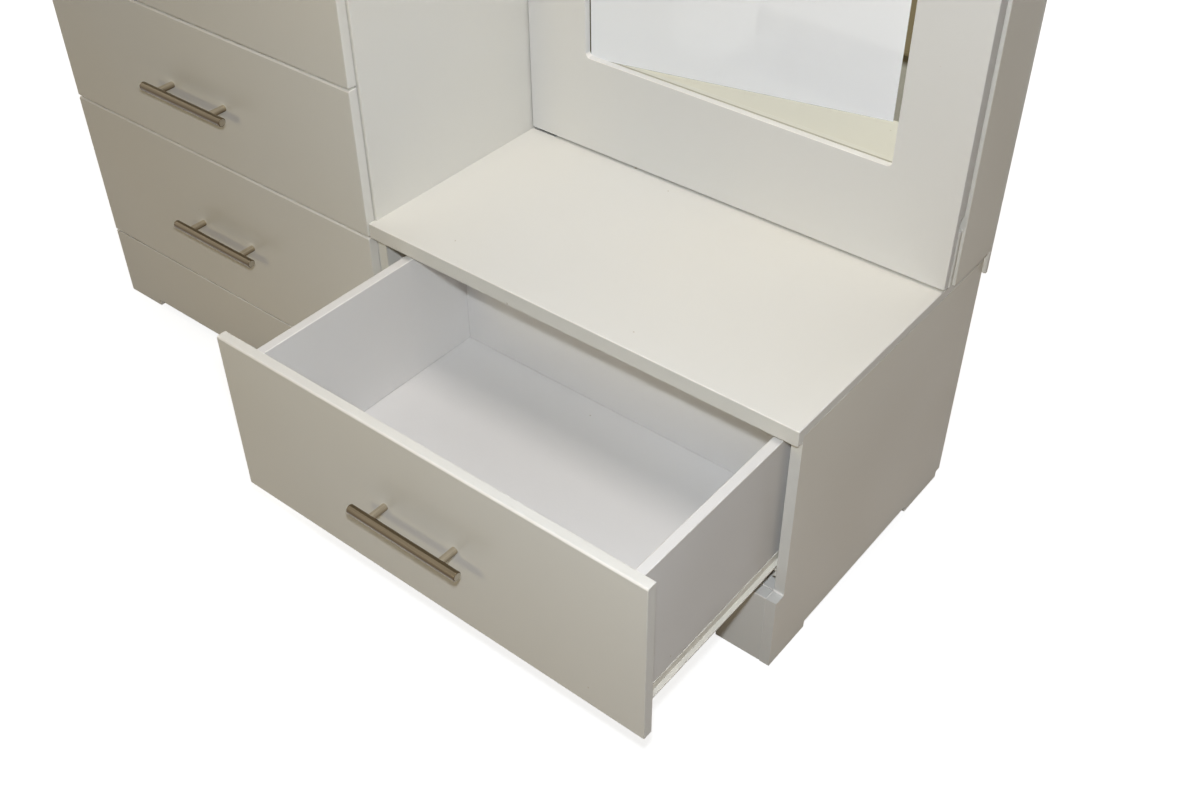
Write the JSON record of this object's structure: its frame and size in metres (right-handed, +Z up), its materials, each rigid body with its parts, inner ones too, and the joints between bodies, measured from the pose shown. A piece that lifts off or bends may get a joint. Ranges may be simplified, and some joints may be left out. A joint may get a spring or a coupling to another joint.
{
  "type": "dressing table",
  "caption": "White painted dressing unit: tall drawer chest, low cabinet with an open drawer, mirror-door cabinet.",
  "frame": {"origin": "middle of the object's box on the floor, with the low drawer open as pictured", "axes": "+X to the right as seen from the front, +Y to the back, +Z up"},
  "size_m": [1.51, 0.854, 1.4305],
  "materials": {
    "white_paint": "satin white paint with a light gloss on board",
    "brushed_nickel": "brushed",
    "runner_coat": "white powder coat on steel",
    "nylon": "moulded",
    "mirror_glass": "silvered glass",
    "hardboard": "raw hardboard",
    "zinc": "zinc plated"
  },
  "bodies": {
    "cabinet": {"chest_left_side": "white_paint", "chest_right_side": "white_paint", "chest_top": "white_paint", "chest_nosing": "white_paint", "chest_bottom": "white_paint", "chest_plinth": "white_paint", "chest_back": "white_paint", "chest_runners": "runner_coat", "low_left_side": "white_paint", "low_right_side": "white_paint", "low_top": "white_paint", "low_nosing": "white_paint", "low_bottom": "white_paint", "low_plinth": "white_paint", "low_back": "white_paint", "runner_packer": "white_paint", "low_runners": "runner_coat", "mirror_left_side": "white_paint", "mirror_right_side": "white_paint", "mirror_top": "white_paint", "mirror_strip": "white_paint", "mirror_back": "white_paint", "mirror_shelves": "white_paint", "shelf_pins": "zinc", "pivot_plates": "zinc"},
    "chest_drawer_1": {"chest_drawer_1_front": "white_paint", "chest_drawer_1_box": "white_paint", "chest_drawer_1_runners": "runner_coat", "chest_drawer_1_handle": "brushed_nickel"},
    "chest_drawer_2": {"chest_drawer_2_front": "white_paint", "chest_drawer_2_box": "white_paint", "chest_drawer_2_runners": "runner_coat", "chest_drawer_2_handle": "brushed_nickel"},
    "chest_drawer_3": {"chest_drawer_3_front": "white_paint", "chest_drawer_3_box": "white_paint", "chest_drawer_3_runners": "runner_coat", "chest_drawer_3_handle": "brushed_nickel"},
    "chest_drawer_4": {"chest_drawer_4_front": "white_paint", "chest_drawer_4_box": "white_paint", "chest_drawer_4_runners": "runner_coat", "chest_drawer_4_handle": "brushed_nickel"},
    "chest_drawer_5": {"chest_drawer_5_front": "white_paint", "chest_drawer_5_box": "white_paint", "chest_drawer_5_runners": "runner_coat", "chest_drawer_5_handle": "brushed_nickel"},
    "low_drawer": {"drawer_front": "white_paint", "drawer_left_side": "white_paint", "drawer_right_side": "white_paint", "drawer_back": "white_paint", "drawer_bottom": "white_paint", "drawer_runners": "runner_coat", "handle_bar": "brushed_nickel", "handle_posts": "brushed_nickel", "handle_screws": "zinc"},
    "front_roller_pair": {"front_rollers": "nylon"},
    "rear_roller_pair": {"rear_rollers": "nylon"},
    "mirror_door": {"door_frame": "white_paint", "mirror_glass": "mirror_glass", "mirror_backing": "hardboard", "pivot_bushes": "nylon"}
  },
  "joints": [
    {"name": "chest_drawer_1_slide", "type": "slide", "parent": "cabinet", "child": "chest_drawer_1", "axis": [0, -1, 0], "range_m": [0, 0.3]},
    {"name": "chest_drawer_2_slide", "type": "slide", "parent": "cabinet", "child": "chest_drawer_2", "axis": [0, -1, 0], "range_m": [0, 0.3]},
    {"name": "chest_drawer_3_slide", "type": "slide", "parent": "cabinet", "child": "chest_drawer_3", "axis": [0, -1, 0], "range_m": [0, 0.3]},
    {"name": "chest_drawer_4_slide", "type": "slide", "parent": "cabinet", "child": "chest_drawer_4", "axis": [0, -1, 0], "range_m": [0, 0.3]},
    {"name": "chest_drawer_5_slide", "type": "slide", "parent": "cabinet", "child": "chest_drawer_5", "axis": [0, -1, 0], "range_m": [0, 0.3]},
    {"name": "low_drawer_slide", "type": "slide", "parent": "cabinet", "child": "low_drawer", "axis": [0, -1, 0], "range_m": [-0.295, 0.005]},
    {"name": "front_roller_spin", "type": "hinge", "parent": "cabinet", "child": "front_roller_pair", "pos_m": [0.37, -0.065, 0.1769], "axis": [1, 0, 0], "continuous": true},
    {"name": "rear_roller_spin", "type": "hinge", "parent": "low_drawer", "child": "rear_roller_pair", "pos_m": [0.37, 0.024, 0.1648], "axis": [1, 0, 0], "continuous": true},
    {"name": "mirror_door_hinge", "type": "hinge", "parent": "cabinet", "child": "mirror_door", "pos_m": [0.0012, 0.29, 0.447], "axis": [0, 0, -1], "range_deg": [0, 90]}
  ],
  "couplings": [
    {"joint": "front_roller_spin", "follows": "low_drawer_slide", "rad_per_m": 200},
    {"joint": "rear_roller_spin", "follows": "low_drawer_slide", "rad_per_m": 200}
  ]
}
